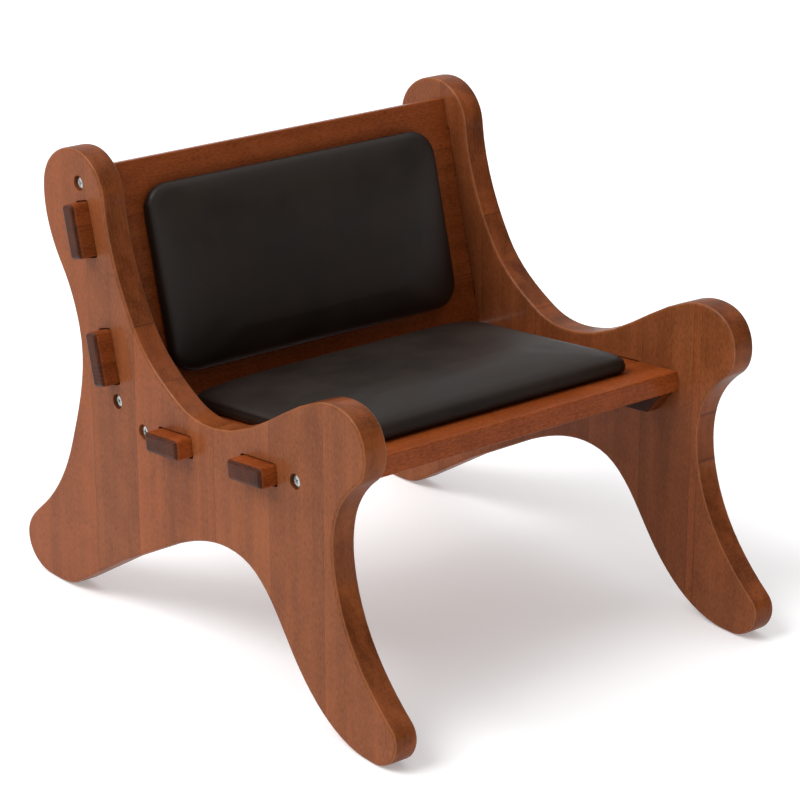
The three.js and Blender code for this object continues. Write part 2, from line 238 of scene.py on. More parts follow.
def cut(piece, cutters):
    for cutter in cutters:
        boolean = piece.modifiers.new("cut", "BOOLEAN")
        boolean.operation = "DIFFERENCE"
        boolean.solver = "EXACT"
        boolean.object = cutter
    bake_modifiers(piece)
    for cutter in cutters:
        bpy.data.objects.remove(cutter)
    smooth(piece.data, 30)


def heading(degrees):
    return Vector((math.cos(math.radians(degrees)), math.sin(math.radians(degrees))))


def outward(tangent):
    """The direction that faces out of an outline drawn clockwise."""
    return Vector((-tangent.y, tangent.x)).normalized()


def wrap(angle):
    return (angle + 180) % 360 - 180


def smooth_segment(knot, next_knot):
    """(point, outward) along a smooth curve whose handles suit a round arc of the same turn."""
    start = Vector(knot[:2])
    end = Vector(next_knot[:2])
    chord = end - start
    reach = chord.length / 3 / math.cos(math.radians(wrap(next_knot[2] - knot[2])) / 4) ** 2
    handle_a = start + heading(knot[2]) * reach
    handle_b = end - heading(next_knot[2]) * reach
    chord_heading = math.degrees(math.atan2(chord.y, chord.x))
    bend = abs(wrap(knot[2] - chord_heading)) + abs(wrap(next_knot[2] - chord_heading))
    steps = max(1, math.ceil(bend / OUTLINE_STEP_ANGLE))
    for step in range(steps):
        t = step / steps
        u = 1 - t
        point = u**3 * start + 3 * u * u * t * handle_a + 3 * u * t * t * handle_b + t**3 * end
        tangent = u * u * (handle_a - start) + 2 * u * t * (handle_b - handle_a)
        tangent += t * t * (end - handle_b)
        yield point, outward(tangent)


def panel_outline():
    knots = zip(PANEL_OUTLINE, PANEL_OUTLINE[1:] + PANEL_OUTLINE[:1])
    return [place for knot, next_knot in knots for place in smooth_segment(knot, next_knot)]


def rounded_polygon(corners, radius, steps=4):
    """(point, outward) round a convex polygon given clockwise, with its corners rounded."""
    places = []
    for index, corner in enumerate(corners):
        before = (corner - corners[index - 1]).normalized()
        after = (corners[(index + 1) % len(corners)] - corner).normalized()
        turn = math.acos(max(-1, min(1, before.dot(after))))
        setback = radius * math.tan(turn / 2)
        centre = corner - before * setback - outward(before) * radius
        start = math.atan2(outward(before).y, outward(before).x)
        for step in range(steps + 1):
            angle = start - turn * step / steps
            direction = Vector((math.cos(angle), math.sin(angle)))
            places.append((centre + direction * radius, direction))
    return places


def rounded_slab(shell, outline, thickness, roundover, steps=5):
    """The rounded rim of a flat slab lying across X; returns its two face rings."""
    half = thickness / 2
    profile = [(roundover + FLAT_MARGIN, half)]
    for step in range(steps + 1):
        angle = math.pi / 2 * step / steps
        inset = roundover * (1 - math.sin(angle))
        profile.append((inset, half - roundover * (1 - math.cos(angle))))
    profile += [(inset, -x) for inset, x in reversed(profile)]
    rings = []
    for inset, x in profile:
        rings.append(shell.ring((x, *(point - facing * inset)) for point, facing in outline))
    shell.loft(rings)
    return rings[0], rings[-1]


def rounded_rectangle(low, high, radius, steps=4, margin=FLAT_MARGIN):
    """Points anticlockwise round a rectangle, from the corner at its high end of both axes."""
    (x0, y0), (x1, y1) = low, high
    corners = [(x1, y1), (x0, y1), (x0, y0), (x1, y0)]
    points = []
    for quarter, (x, y) in enumerate(corners):
        inwards = Vector((-1 if x == x1 else 1, -1 if y == y1 else 1))
        centre = Vector((x, y)) + inwards * radius
        turns = [quarter + step / steps for step in range(steps + 1)]
        arc = [centre + heading(90 * turn) * radius for turn in turns]
        along_in = heading(90 * quarter + 90)
        along_out = heading(90 * quarter + 180)
        points += [arc[0] - along_in * margin, *arc, arc[-1] + along_out * margin]
    return points


def circle(radius, count=32):
    return [heading(360 * index / count) * radius for index in range(count)]


def turned(name, profile, finish, count=40):
    """A piece turned about Z from [radius, height] points that start and end on the axis."""
    shell = Shell()
    rings = [shell.ring((*point, height) for point in circle(radius, count))
             for radius, height in profile[1:-1]]
    shell.loft(rings)
    shell.cap(rings[0])
    shell.cap(rings[-1])
    return shell.piece(name, [finish], 30)


def block_cutter(centre, size, taper=1.0):
    """A plain block to cut with, whose lower end is narrowed by taper."""
    shell = Shell()
    rings = []
    for end, scale in ((0.5, 1), (-0.5, taper)):
        corners = [(0.5, 0.5), (-0.5, 0.5), (-0.5, -0.5), (0.5, -0.5)]
        rings.append(shell.ring(
            (centre[0] + x * size[0] * scale, centre[1] + y * size[1] * scale,
             centre[2] + end * size[2]) for x, y in corners))
    shell.loft(rings)
    shell.cap(rings[0])
    shell.cap(rings[1])
    return shell.piece("cutter", [])


def board_matrix(board):
    y, z = board["origin"]
    return Matrix.Translation((0, y * MM, z * MM)) @ Matrix.Rotation(
        math.radians(board["tilt"]), 4, "X")


def in_bench(board, y, z):
    """A board's own (y, z) as (y, z) in the bench's frame."""
    turned_point = Matrix.Rotation(math.radians(board["tilt"]), 2) @ Vector((y, z))
    return Vector(board["origin"]) + turned_point


# ---------------------------------------------------------------- material building


class Finish:
    """A node material; each helper adds a node and returns the socket to use next."""

    def __init__(self, name):
        self.material = bpy.data.materials.new(name)
        self.material.use_nodes = True
        self.tree = self.material.node_tree
        self.shader = self.tree.nodes["Principled BSDF"]

    def node(self, kind, inputs, **settings):
        made = self.tree.nodes.new(kind)
        for key, value in settings.items():
            setattr(made, key, value)
        for key, value in inputs.items():
            self.feed(made.inputs[key], value)
        return made

    def feed(self, socket, value):
        if isinstance(value, bpy.types.NodeSocket):
            self.tree.links.new(value, socket)
        else:
            socket.default_value = value

    def surface(self, **values):
        for key, value in values.items():
            self.feed(self.shader.inputs[key.replace("_", " ").title()], value)

    def math(self, operation, a, b=0.0, c=0.0):
        return self.node("ShaderNodeMath", {0: a, 1: b, 2: c}, operation=operation).outputs[0]

    def ease(self, value, low, high, to_low=0.0, to_high=1.0):
        return self.node(
            "ShaderNodeMapRange",
            {"Value": value, "From Min": low, "From Max": high,
             "To Min": to_low, "To Max": to_high},
            interpolation_type="SMOOTHSTEP",
        ).outputs["Result"]

    def mix(self, amount, a, b, blend="MIX"):
        made = self.node("ShaderNodeMix", {0: amount}, data_type="RGBA", blend_type=blend)
        self.feed(made.inputs[6], a)
        self.feed(made.inputs[7], b)
        return made.outputs[2]

    def noise(self, vector, scale=1.0, detail=2.0, roughness=0.5, distortion=0.0):
        return self.node("ShaderNodeTexNoise", {
            "Vector": vector, "Scale": scale, "Detail": detail,
            "Roughness": roughness, "Distortion": distortion,
        }).outputs[0]

    def combine(self, x, y, z):
        return self.node("ShaderNodeCombineXYZ", {0: x, 1: y, 2: z}).outputs[0]

    def separate(self, vector):
        return self.node("ShaderNodeSeparateXYZ", {0: vector}).outputs

    def object_place(self):
        return self.node("ShaderNodeTexCoord", {}).outputs["Object"]

    def grained(self, parts, scales):
        scaled = [self.math("MULTIPLY", part, scale) for part, scale in zip(parts, scales)]
        return self.combine(*scaled)

    def bump(self, height, strength, distance):
        made = self.node("ShaderNodeBump", {
            "Height": height, "Strength": strength, "Distance": distance})
        self.feed(self.shader.inputs["Normal"], made.outputs[0])


def color(red, green, blue):
    """An sRGB colour of 0 to 255 as linear light."""
    return tuple((part / 255) ** 2.2 for part in (red, green, blue)) + (1.0,)


def facing_x(finish, low, high):
    """1 on faces across X, and 0 on those along it, easing between two sizes of the normal's x."""
    normal = finish.node("ShaderNodeNewGeometry", {}).outputs["Normal"]
    return finish.ease(finish.math("ABSOLUTE", finish.separate(normal)[0]), low, high)


def staves(wood, across, joints, seed):
    """(start of the stave, nearness of a glue line, three random numbers of the stave)."""
    start, order, nearest = -1.0, seed, 1.0
    previous = -1.0
    for joint in joints:
        passed = wood.math("GREATER_THAN", across, joint)
        start = wood.math("MULTIPLY_ADD", passed, joint - previous, start)
        order = wood.math("ADD", order, passed)
        away = wood.math("ABSOLUTE", wood.math("SUBTRACT", across, joint))
        nearest = wood.math("MINIMUM", nearest, away)
        previous = joint
    random = wood.node("ShaderNodeTexWhiteNoise", {"W": order}, noise_dimensions="1D")
    glue_line = wood.ease(nearest, 0.0001, 0.0006, 1.0, 0.0)
    return start, glue_line, wood.separate(random.outputs["Color"])


def growth_rings(wood, sideways, depth, bend):
    """Stripes from 0 to 1 by the distance from a stave's centre line, bent a little by a noise."""
    radius = wood.math("SQRT", wood.math("MULTIPLY_ADD", sideways, sideways,
                                         wood.math("MULTIPLY", depth, depth)))
    phase = wood.math("MULTIPLY_ADD", radius, 1700, wood.math("MULTIPLY", bend, 14))
    return wood.math("MULTIPLY_ADD", wood.math("SINE", phase), 0.5, 0.5)


def stained_wood(name, axes, joints, light, dark, end_light, end_dark, ends_face_x, seed):
    """Glued-up hardwood under stain and satin lacquer.

    axes are the positions of across, through and along the grain in object space, and joints are
    where the glue lines lie across it. The colours named end are those of the end grain and
    shaped edges: on a board they face X, and on a side panel they face away from it.
    """
    wood = Finish(name)
    place = wood.separate(wood.object_place())
    across, through, along = (place[axis] for axis in axes)
    start, glue_line, tints = staves(wood, across, joints, seed)

    shift = wood.math("MULTIPLY", tints[1], 9)
    moved = [wood.math("ADD", across, shift), through, wood.math("ADD", along, shift)]
    streaks = wood.noise(wood.grained(moved, (60, 60, 3)), detail=3)
    fibres = wood.noise(wood.grained(moved, (620, 620, 30)), detail=3, roughness=0.65)
    flecks = wood.noise(wood.grained(moved, (640, 640, 210)), detail=3, roughness=0.6)
    figure = wood.noise(wood.grained(moved, (22, 22, 22)), detail=3, distortion=1.0)
    bend = wood.noise(wood.grained(moved, (18, 18, 3)), detail=2)
    sideways = wood.math("SUBTRACT", wood.math("SUBTRACT", across, start), RING_CENTRE)
    depth = wood.math("ADD", through, wood.math("MULTIPLY_ADD", tints[2], 0.05, 0.025))
    rings = growth_rings(wood, sideways, depth, bend)

    across_x = facing_x(wood, 0.2, 0.6) if ends_face_x else facing_x(wood, 0.55, 0.9)
    end_amount = across_x if ends_face_x else wood.math("SUBTRACT", 1.0, across_x)

    def by_surface(on_faces, on_ends):
        return wood.ease(end_amount, 0.0, 1.0, on_faces, on_ends)

    gains = [  # how far each pattern moves the tone away from its middle
        (streaks, 0.7), (fibres, 0.4), (flecks, by_surface(1.25, 0.5)),
        (rings, by_surface(0.02, 0.2 if ends_face_x else 0.04)), (figure, by_surface(0.45, 0.85)),
        (tints[0], by_surface(0.24, 0.2)),
    ]
    tone = 0.5
    for pattern, gain in gains:
        tone = wood.math("MULTIPLY_ADD", wood.math("SUBTRACT", pattern, 0.5), gain, tone)
    tone = wood.ease(tone, 0.0, 1.0)

    face_color = wood.mix(tone, dark, light)
    end_color = wood.mix(tone, end_dark, end_light)
    base = wood.mix(end_amount, face_color, end_color)
    pores = wood.ease(flecks, 0.6, 0.74)
    base = wood.mix(wood.math("MULTIPLY", pores, 0.3), base, (0.05, 0.017, 0.007, 1))
    base = wood.mix(wood.math("MULTIPLY", glue_line, 0.45), base, (0.035, 0.012, 0.006, 1))
    if not ends_face_x:  # lighter along the side panels' rounded edges: partly worn lacquer, partly a painted highlight
        worn_and_highlight = wood.math("MULTIPLY", facing_x(wood, 0.25, 0.5), wood.math(
            "SUBTRACT", 1.0, facing_x(wood, 0.6, 0.85)))
        base = wood.mix(wood.math("MULTIPLY", worn_and_highlight, 0.22), base, color(188, 132, 96))
    redder = wood.math("MULTIPLY", tints[2], 0.3)
    base = wood.mix(redder, base, wood.mix(1.0, base, (1.12, 0.86, 0.72, 1), "MULTIPLY"))

    height = wood.math("MULTIPLY_ADD", pores, -0.6, wood.math("MULTIPLY", fibres, 0.35))
    height = wood.math("MULTIPLY_ADD", glue_line, -0.5, height)
    wood.bump(height, 0.22, 0.0002)
    wood.surface(
        base_color=base,
        roughness=wood.ease(wood.math("MULTIPLY_ADD", fibres, 0.4, streaks), 0.3, 1.1, 0.34, 0.46),
    )
    wood.shader.inputs["Specular IOR Level"].default_value = 0.05
    wood.shader.inputs["Coat Weight"].default_value = 0.12
    wood.shader.inputs["Coat Roughness"].default_value = 0.12
    return wood.material


def raw_wood():
    wood = Finish("raw_wood")
    place = wood.separate(wood.object_place())
    fibres = wood.noise(wood.grained(place, (900, 900, 120)), detail=3)
    base = wood.mix(fibres, color(168, 128, 88), color(226, 196, 150))
    wood.bump(fibres, 0.4, 0.0002)
    wood.surface(base_color=base, roughness=wood.ease(fibres, 0.2, 0.8, 0.65, 0.85))
    return wood.material


def leatherette():
    """Smooth coated fabric: a fine pebble grain and faint handling marks in its sheen."""
    skin = Finish("leatherette")
    place = skin.object_place()
    pebbles = skin.node("ShaderNodeTexVoronoi", {"Vector": place, "Scale": 950.0},
                        feature="DISTANCE_TO_EDGE").outputs["Distance"]
    crevices = skin.ease(pebbles, 0.0, 0.16)
    cloudy = skin.noise(place, scale=22.0, detail=3)
    fine = skin.noise(place, scale=1900.0, detail=2)
    base = skin.mix(skin.ease(cloudy, 0.3, 0.7), color(33, 25, 20), color(40, 30, 24))
    # The crevices of the pebble grain are darkened here: painted shade.
    base = skin.mix(skin.math("MULTIPLY", skin.math("SUBTRACT", 1.0, crevices), 0.3), base,
                    color(17, 14, 12))
    skin.bump(skin.math("MULTIPLY_ADD", fine, 0.3, crevices), 0.1, 0.0001)
    skin.surface(base_color=base, roughness=skin.ease(cloudy, 0.25, 0.75, 0.44, 0.52))
    skin.shader.inputs["Specular IOR Level"].default_value = 0.28
    return skin.material


def zinc():
    plate = Finish("zinc_plate")
    place = plate.object_place()
    spangle = plate.noise(place, scale=420.0, detail=3)
    scuffs = plate.noise(place, scale=2600.0, detail=2)
    base = plate.mix(spangle, color(150, 156, 158), color(206, 210, 208))
    plate.bump(scuffs, 0.12, 0.0001)
    plate.surface(base_color=base, roughness=plate.ease(spangle, 0.3, 0.7, 0.26, 0.42))
    plate.shader.inputs["Metallic"].default_value = 1.0
    return plate.material


def plywood():
    ply = Finish("plywood")
    place = ply.separate(ply.object_place())
    fibres = ply.noise(ply.grained(place, (40, 700, 700)), detail=3)
    veneers = ply.math("SINE", ply.math("MULTIPLY", place[2], 3600))
    tone = ply.math("MULTIPLY_ADD", veneers, 0.25, fibres)
    base = ply.mix(ply.ease(tone, 0.2, 0.9), color(134, 98, 62), color(205, 172, 126))
    ply.bump(fibres, 0.3, 0.0003)
    ply.surface(base_color=base, roughness=ply.ease(fibres, 0.2, 0.8, 0.7, 0.85))
    return ply.material


def foam():
    cells = Finish("foam")
    place = cells.object_place()
    voronoi = cells.node("ShaderNodeTexVoronoi", {"Vector": place, "Scale": 1100.0})
    pits = voronoi.outputs["Distance"]
    cloudy = cells.noise(place, scale=30.0, detail=3)
    base = cells.mix(cloudy, color(214, 200, 152), color(236, 226, 190))
    cells.bump(pits, 0.5, 0.0004)
    cells.surface(base_color=base, roughness=cells.ease(pits, 0.0, 0.6, 0.85, 0.98))
    return cells.material


def studio_floor():
    floor = Finish("studio_floor")
    place = floor.object_place()
    mottle = floor.noise(place, scale=3.0, detail=3)
    base = floor.mix(mottle, (0.8, 0.8, 0.805, 1), (0.84, 0.84, 0.845, 1))
    floor.surface(base_color=base, roughness=floor.ease(mottle, 0.0, 1.0, 0.75, 0.85))
    floor.shader.inputs["Specular IOR Level"].default_value = 0.1
    floor.shader.inputs["Emission Color"].default_value = (1, 1, 1, 1)
    floor.shader.inputs["Emission Strength"].default_value = FLOOR_GLOW
    return floor.material


# which of a piece's own axes run across, through and along the grain
PANEL_AXES = (1, 0, 2)
BOARD_AXES = (1, 2, 0)
PANEL_COLORS = {
    "light": color(138, 80, 49), "dark": color(99, 56, 33),
    "end_light": color(138, 76, 42), "end_dark": color(78, 40, 19),
}
BOARD_COLORS = {
    "seat": {"light": color(152, 80, 42), "dark": color(106, 50, 21)},
    "back": {"light": color(138, 74, 40), "dark": color(92, 45, 21)},
}
TENON_COLORS = {"end_light": color(82, 42, 22), "end_dark": color(40, 20, 10)}
# where the glue lines between the staves lie, in metres
PANEL_JOINTS = {
    "left": (-0.195, -0.118, -0.034, 0.045, 0.09, 0.163),
    "right": (-0.209, -0.199, -0.131, -0.058, 0.022, 0.104, 0.171),
}
BOARD_JOINTS = {"seat": (0.062, 0.129, 0.198), "back": (0.05, 0.11, 0.178)}
RING_CENTRE = 0.03  # how far into each stave its growth rings are centred, in metres

panel_wood = {
    side: stained_wood(f"panel_wood_{side}", PANEL_AXES, PANEL_JOINTS[side], ends_face_x=False,
                       seed=seed, **PANEL_COLORS)
    for side, seed in (("left", 11), ("right", 47))
}
board_wood = {
    name: stained_wood(f"{name}_board_wood", BOARD_AXES, BOARD_JOINTS[name], ends_face_x=True,
                       seed=seed, **BOARD_COLORS[name], **TENON_COLORS)
    for name, seed in (("seat", 23), ("back", 71))
}
# The cleat has darker colours than the other wood: painted shade from the seat above it.
cleat_wood = stained_wood(
    "cleat_wood", PANEL_AXES, (), color(96, 48, 27), color(56, 28, 16), color(60, 30, 17),
    color(26, 14, 9), ends_face_x=True, seed=5)
bare_wood = raw_wood()
pad_skin = leatherette()
zinc_plate = zinc()
pad_plywood = plywood()
pad_foam = foam()

# ---------------------------------------------------------------- wooden pieces


def hole(shell, rings, blind_finish=None, finish=0):
    """Joins the rings of a hole; a blind one is closed at its last ring."""
    shell.loft(rings, finish)
    if blind_finish is not None:
        shell.cap(rings[-1], finish=blind_finish)
    return rings[0]


def mortise_section(start, ease):
    spread = MORTISE_CLEARANCE + ease
    low = (start - spread, -BOARD_THICKNESS - spread)
    high = (start + TENON_LENGTH + spread, spread)
    return rounded_rectangle(low, high, MORTISE_CORNER, margin=0.1)


def bolt_hole():
    """[depth below a side panel's outer face, radius] of a counterbored bolt hole."""
    shank = BOLT["radius"] + GAP
    return [
        (0, COUNTERBORE_RADIUS + HOLE_EASE), (HOLE_EASE, COUNTERBORE_RADIUS),
        (STAINED_DEPTH, COUNTERBORE_RADIUS), (COUNTERBORE_DEPTH, COUNTERBORE_RADIUS),
        (COUNTERBORE_DEPTH, shank), (PANEL_THICKNESS, shank),
    ]


def side_panel(side_name):
    """A shaped panel with its mortises, bolt holes and the pilots of its cleat's screws."""
    side = SIDES[side_name]
    half = PANEL_THICKNESS / 2
    shell = Shell()
    face_a, face_b = rounded_slab(shell, panel_outline(), PANEL_THICKNESS, PANEL_ROUNDOVER)
    outer_rim, inner_rim = (face_a, face_b) if side > 0 else (face_b, face_a)
    outer_holes = []
    inner_holes = []

    def ring_at(depth, board, points):
        """A ring at this depth below the outer face, from points in the board's own frame."""
        x = side * (half - depth)
        return shell.ring((x, *in_bench(board, *point)) for point in points)

    for board in BOARDS.values():
        for start in board["tenons"]:
            stations = [(0, HOLE_EASE), (HOLE_EASE, 0), (PANEL_THICKNESS - HOLE_EASE, 0),
                        (PANEL_THICKNESS, HOLE_EASE)]
            rings = [ring_at(depth, board, mortise_section(start, ease))
                     for depth, ease in stations]
            shell.loft(rings)
            outer_holes.append(rings[0])
            inner_holes.append(rings[-1])
        for y in board["bolts"].values():
            middle = Vector((y, BOARD_MIDDLE))
            rings = [ring_at(depth, board, [middle + point for point in circle(radius)])
                     for depth, radius in bolt_hole()]
            shell.loft(rings[:3])  # down to where the stain ends
            shell.loft(rings[2:], finish=1)
            outer_holes.append(rings[0])
            inner_holes.append(rings[-1])
    for y in CLEAT["screws"]:
        middle = Vector((y, cleat_middle()))
        pilot = [middle + point for point in circle(WOOD_SCREW["radius"] + GAP, 16)]
        rings = [ring_at(depth, BOARDS["seat"], pilot)
                 for depth in (PANEL_THICKNESS, PANEL_THICKNESS - CLEAT["width"])]
        inner_holes.append(hole(shell, rings, blind_finish=1, finish=1))
    shell.cap(outer_rim, outer_holes)
    shell.cap(inner_rim, inner_holes)
    panel = shell.piece(f"panel_{side_name}", [panel_wood[side_name], bare_wood])
    panel.location.x = side * (INNER_HALF + half) * MM
    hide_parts(f"side_panel_{side_name}")
    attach(panel, "root")


def tenon_section(start, inset, corner):
    low = (start + inset, -BOARD_THICKNESS + inset)
    high = (start + TENON_LENGTH - inset, -inset)
    return rounded_rectangle(low, high, corner, margin=0.3)


def tenon(shell, start, side, shoulder):
    """Lofts one rounded tenon out of the board's end and returns its root ring."""
    radius = TENON_ROUND
    arc_start = TENON_TIP - radius
    stations = [(shoulder, 0, radius), (arc_start - FLAT_MARGIN, 0, radius)]
    steps = 6
    for step in range(steps + 1):
        angle = math.pi / 2 * step / steps
        inset = radius * (1 - math.cos(angle))
        corner = max(radius * math.cos(angle), 0.1)
        stations.append((arc_start + radius * math.sin(angle), inset, corner))
    stations.append((TENON_TIP, radius + FLAT_MARGIN, 0.1))
    rings = [shell.ring((side * x, *point) for point in tenon_section(start, inset, corner))
             for x, inset, corner in stations]
    shell.loft(rings)
    shell.cap(rings[-1])
    return rings[0]


def pad_screw_places(pad):
    x = PAD_WIDTH / 2 - PAD_SCREW_INSET[0]
    near = pad["start"] + PAD_SCREW_INSET[1]
    far = pad["start"] + pad["depth"] - PAD_SCREW_INSET[1]
    return [(-x, near), (x, near), (x, far), (-x, far)]


def board_piece(name):
    """A board with its tenons, and with holes in its underside for pad screws and barrel nuts."""
    board = BOARDS[name]
    shell = Shell()
    shoulder = INNER_HALF - GAP
    corner_steps = 4
    section = rounded_rectangle(
        (0, -BOARD_THICKNESS), (board["length"], 0), BOARD_EASE, steps=corner_steps)
    ends = {side: shell.ring((side * shoulder, *point) for point in section) for side in (-1, 1)}
    under = 3 * (corner_steps + 3) - 1  # the section's stretch along the underside
    shell.bridge(ends[-1], ends[1], skip=(under,))
    for side, rim in ends.items():
        roots = [tenon(shell, start, side, shoulder) for start in board["tenons"]]
        shell.cap(rim, roots)

    def hole_below(x, y, stations):
        rings = [shell.ring((x + point.x, y + point.y, height - BOARD_THICKNESS)
                            for point in circle(radius)) for height, radius in stations]
        return hole(shell, rings, blind_finish=1, finish=1)

    screw_room = WOOD_SCREW["radius"] + GAP
    nut_room = BARREL_NUT["radius"] + GAP
    nut_roof = BOARD_THICKNESS + BOARD_MIDDLE + BARREL_NUT["length"] / 2 + GAP
    screw_hole = [
        (0, WOOD_SCREW["head_radius"] + 2 * GAP), (PAD_SCREW_HOLE["countersink"], screw_room),
        (PAD_SCREW_HOLE["depth"], screw_room),
    ]
    under_holes = [hole_below(x, y, screw_hole) for x, y in pad_screw_places(board["pad"])]
    for side in SIDES.values():
        for y in board["bolts"].values():
            x = side * (INNER_HALF - BARREL_NUT["from_end"])
            under_holes.append(hole_below(
                x, y, [(0, nut_room + HOLE_EASE), (HOLE_EASE, nut_room), (nut_roof, nut_room)]))
    underside = [ends[-1][under], ends[-1][under + 1], ends[1][under + 1], ends[1][under]]
    shell.cap(underside, under_holes)
    piece = shell.piece(f"{name}_board_tenoned", [board_wood[name], bare_wood])
    piece.matrix_world = board_matrix(board)
    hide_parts(f"{name}_board")
    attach(piece, "root")


def cleat_middle():
    """Mid-height of a cleat, in the seat board's frame."""
    return -BOARD_THICKNESS - GAP - CLEAT["height"] / 2


def cleat(side_name):
    """A strip under an end of the seat board, narrower below and screwed to the side panel."""
    side = SIDES[side_name]
    top = -BOARD_THICKNESS - GAP
    bottom = top - CLEAT["height"]
    near, far = CLEAT["ends"]
    corners = [Vector(corner) for corner in (
        (near, top), (far, top), (far - CLEAT["height"], bottom), (near + CLEAT["height"], bottom))]
    shell = Shell()
    rims = rounded_slab(
        shell, rounded_polygon(corners, CLEAT["corner"]), CLEAT["width"], CLEAT["ease"], steps=3)
    outer_rim, inner_rim = rims if side > 0 else rims[::-1]
    half = CLEAT["width"] / 2
    screw_room = WOOD_SCREW["radius"] + GAP
    stations = [(0, WOOD_SCREW["head_radius"] + GAP), (CLEAT["countersink"], screw_room),
                (CLEAT["width"], screw_room)]
    sinks = []
    for y in CLEAT["screws"]:
        rings = [shell.ring((side * (depth - half), y + point.x, cleat_middle() + point.y)
                            for point in circle(radius, 24)) for depth, radius in stations]
        shell.loft(rings)
        sinks.append((rings[0], rings[-1]))
    shell.cap(inner_rim, [sink[0] for sink in sinks])
    shell.cap(outer_rim, [sink[1] for sink in sinks])
    piece = shell.piece(f"cleat_{side_name}", [cleat_wood])
    shift = Matrix.Translation((side * (INNER_HALF - GAP - half) * MM, 0, 0))
    piece.matrix_world = board_matrix(BOARDS["seat"]) @ shift
    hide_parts(f"seat_cleat_{side_name}")
    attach(piece, "root")


# ---------------------------------------------------------------- fasteners


def cross_recess(span, width, depth, top):
    """Cutters for a cross-head recess whose arms narrow towards the bottom."""
    lift = 1
    centre = (0, 0, top + lift - (depth + lift) / 2)
    arms = [(span, width), (width, span)]
    return [block_cutter(centre, (x, y, depth + lift), 0.55) for x, y in arms]


def threaded(radius, start, end, pitch):
    """[radius, height] points of ridges between two heights."""
    count = round((end - start) / pitch)
    step = (end - start) / count
    points = []
    for index in range(count):
        points += [(radius * 0.84, start + index * step), (radius, start + (index + 0.5) * step)]
    return points


def pan_bolt():
    """A bolt with a low domed head, a cross recess and four short ticks between its arms."""
    radius, height = BOLT["head_radius"], BOLT["head_height"]
    dome = [(radius * math.cos(angle) ** 0.55, height * (0.35 + 0.65 * math.sin(angle)))
            for angle in (math.radians(degrees) for degrees in (0, 15, 30, 45, 60, 72, 82))]
    thread = threaded(BOLT["radius"], -BOLT["length"] + 1, -22, 1)
    profile = [
        (0, -BOLT["length"]), (BOLT["radius"] * 0.7, -BOLT["length"]), *thread,
        (BOLT["radius"], -21), (BOLT["radius"], 0), (radius - 0.3, 0), (radius, 0.4), *dome,
        (0, height),
    ]
    bolt = turned("panel_bolt", profile, zinc_plate)
    ticks = [block_cutter((0, 0, height), (5.4, 0.35, 0.7), 0.9) for _ in range(2)]
    for tick, angle in zip(ticks, (45, -45)):
        tick.rotation_euler.z = math.radians(angle)
    cut(bolt, [*cross_recess(6.4, 1.25, 2.2, height), *ticks])
    return bolt


def wood_screw(length):
    """A countersunk screw whose head's top is at height 0."""
    radius, head = WOOD_SCREW["radius"], WOOD_SCREW["head_radius"]
    profile = [
        (0, -length), (0.3, -length), *threaded(radius, -length + 2 * radius, -8, 1.5),
        (radius * 0.85, -7), (radius * 0.85, -WOOD_SCREW["head_height"]), (head, -0.3),
        (head * 0.96, 0), (0, 0),
    ]
    screw = turned("wood_screw", profile, zinc_plate)
    cut(screw, cross_recess(4.4, 0.95, 1.6, 0))
    return screw


def barrel_nut():
    """A cross dowel with its thread along X and a slot in its lower end."""
    radius, half = BARREL_NUT["radius"], BARREL_NUT["length"] / 2
    chamfer = 0.5
    nut = turned("barrel_nut", [
        (0, -half), (radius - chamfer, -half), (radius, -half + chamfer), (radius, half - chamfer),
        (radius - chamfer, half), (0, half)], zinc_plate)
    slot = block_cutter((0, 0, -half), (1.4, 3 * radius, 3))
    thread = turned("cutter", [(0, -radius - 1), (BOLT["radius"] + GAP, -radius - 1),
                               (BOLT["radius"] + GAP, radius + 1), (0, radius + 1)], zinc_plate)
    thread.rotation_euler.y = math.pi / 2
    cut(nut, [slot, thread])
    return nut


def place_copy(master, name, matrix, node):
    copy = bpy.data.objects.new(name, master.data)
    bpy.context.scene.collection.objects.link(copy)
    copy.matrix_world = matrix
    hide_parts(node)
    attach(copy, "root")


def moved(x, y, z):
    return Matrix.Translation((x * MM, y * MM, z * MM))


def lying_across(side, spin):
    """Turns a fastener that is drawn along Z to lie along X, with its head towards a side."""
    return Matrix.Rotation(side * math.pi / 2, 4, "Y") @ Matrix.Rotation(spin, 4, "Z")


def fasteners():
    bolt, nut = pan_bolt(), barrel_nut()
    pad_screw, cleat_screw = wood_screw(PAD_SCREW_LENGTH), wood_screw(CLEAT_SCREW_LENGTH)
    for name, board in BOARDS.items():
        base = board_matrix(board)
        for side_name, side in SIDES.items():
            for order, (place, y) in enumerate(board["bolts"].items()):
                node = f"{name}_bolt_{place}_{side_name}"
                head_place = base @ moved(side * BOLT_SEAT, y, BOARD_MIDDLE)
                place_copy(bolt, f"{node}_pan_head", head_place @ lying_across(side, 0.5 + order),
                           node)
                node = f"{name}_barrel_nut_{place}_{side_name}"
                x = side * (INNER_HALF - BARREL_NUT["from_end"])
                place_copy(nut, f"{node}_slotted", base @ moved(x, y, BOARD_MIDDLE), node)
        for index, (x, y) in enumerate(pad_screw_places(board["pad"])):
            node = f"{name}_pad_screw_{index + 1}"
            turn = Matrix.Rotation(math.pi, 4, "X") @ Matrix.Rotation(0.4 * index, 4, "Z")
            place_copy(pad_screw, f"{node}_cross_head",
                       base @ moved(x, y, GAP - BOARD_THICKNESS) @ turn, node)
    base = board_matrix(BOARDS["seat"])
    for side_name, side in SIDES.items():
        x = side * (INNER_HALF - CLEAT["width"])
        for place, y in zip(("front", "rear"), CLEAT["screws"]):
            node = f"cleat_screw_{place}_{side_name}"
            head_place = base @ moved(x, y, cleat_middle())
            place_copy(cleat_screw, f"{node}_cross_head", head_place @ lying_across(-side, 0.3),
                       node)
    for master in (bolt, nut, pad_screw, cleat_screw):
        bpy.data.objects.remove(master)


# ---------------------------------------------------------------- pads


